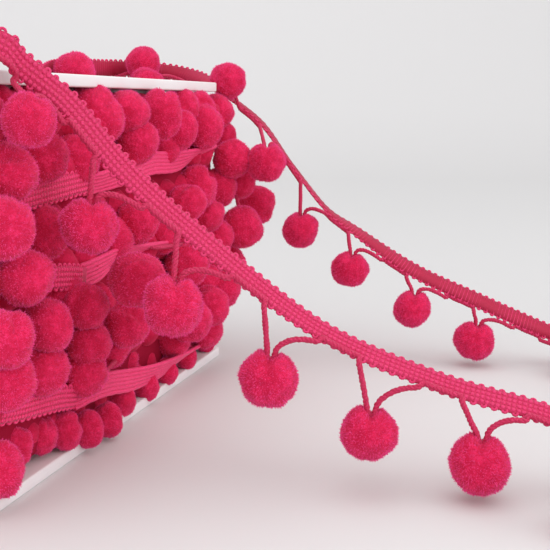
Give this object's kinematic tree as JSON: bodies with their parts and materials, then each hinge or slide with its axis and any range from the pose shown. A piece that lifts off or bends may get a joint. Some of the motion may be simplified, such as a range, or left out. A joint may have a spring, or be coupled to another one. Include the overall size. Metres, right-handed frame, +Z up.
{
  "type": "pompom fringe trim on a reel",
  "caption": "Crocheted braid with a looped cord and soft pompoms along its lower edge, wound on a flat white reel, with one loose length led off and back in a wide bend.",
  "frame": {"origin": "middle of the underside of the reel's bottom flange", "axes": "+Z up, +X along the flanges' long side, -Y towards the side that the loose length is led off to"},
  "size_m": [0.2926, 0.3625, 0.1601],
  "materials": {
    "board": "smooth white board with a soft sheen",
    "pile": "dense short-cut rose-red pile with a velvety sheen",
    "braid": "crocheted rose-red yarn",
    "cord": "chain-knit rose-red yarn"
  },
  "bodies": {
    "root": {"reel": "board", "wound_trim": "pile", "heading": "braid", "fringe_cord": "cord", "pompom_01": "pile", "pompom_02": "pile", "pompom_03": "pile", "pompom_04": "pile", "pompom_05": "pile", "pompom_06": "pile", "pompom_07": "pile", "pompom_08": "pile", "pompom_09": "pile", "pompom_10": "pile", "pompom_11": "pile", "pompom_12": "pile", "pompom_13": "pile", "pompom_14": "pile", "pompom_15": "pile", "pompom_16": "pile", "pompom_17": "pile", "pompom_18": "pile", "pompom_19": "pile", "pompom_20": "pile", "pompom_21": "pile", "pompom_22": "pile", "pompom_23": "pile", "pompom_24": "pile", "pompom_25": "pile", "pompom_26": "pile"}
  },
  "joints": []
}
